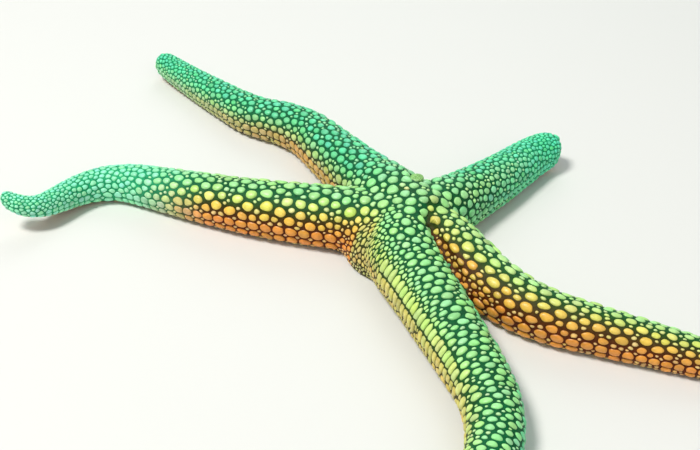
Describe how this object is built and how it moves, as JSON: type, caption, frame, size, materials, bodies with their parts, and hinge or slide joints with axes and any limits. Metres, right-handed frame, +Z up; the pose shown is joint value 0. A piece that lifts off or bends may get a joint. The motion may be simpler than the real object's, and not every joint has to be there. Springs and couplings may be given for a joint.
{
  "type": "yellow mesh sea star",
  "caption": "Life-size sea star lying flat, with long blunt rounded arms bent in a natural crawl, a small disc, tube-foot grooves and a mouth below.",
  "frame": {"origin": "on the floor under the middle of the star's box in plan; the sole is at z = 0", "axes": "+Z up, out of the star's back; +Y along the back of the pose, away from the front arm; +X to the right of the pose"},
  "size_m": [0.1872, 0.1998, 0.0162],
  "materials": {
    "back": "satin, domed yellow-green plates in dark green skin, orange low on the flanks",
    "arm_tip": "satin, turquoise green plates",
    "mouth": "moist, soft membrane",
    "sieve": "chalky, finely furrowed plate"
  },
  "bodies": {
    "root": {"arm_back_left_base": "back", "arm_back_left_end": "back", "arm_back_left_middle": "back", "arm_back_left_tip": "arm_tip", "arm_back_right_base": "back", "arm_back_right_end": "back", "arm_back_right_tip": "arm_tip", "arm_front_base": "back", "arm_front_end": "back", "arm_front_middle": "back", "arm_front_tip": "arm_tip", "arm_left_base": "back", "arm_left_end": "back", "arm_left_middle": "back", "arm_left_tip": "arm_tip", "arm_right_base": "back", "arm_right_end": "back", "arm_right_middle": "back", "arm_right_tip": "arm_tip", "disc": "back", "madreporite": "sieve", "mouth_membrane": "mouth"}
  },
  "joints": []
}
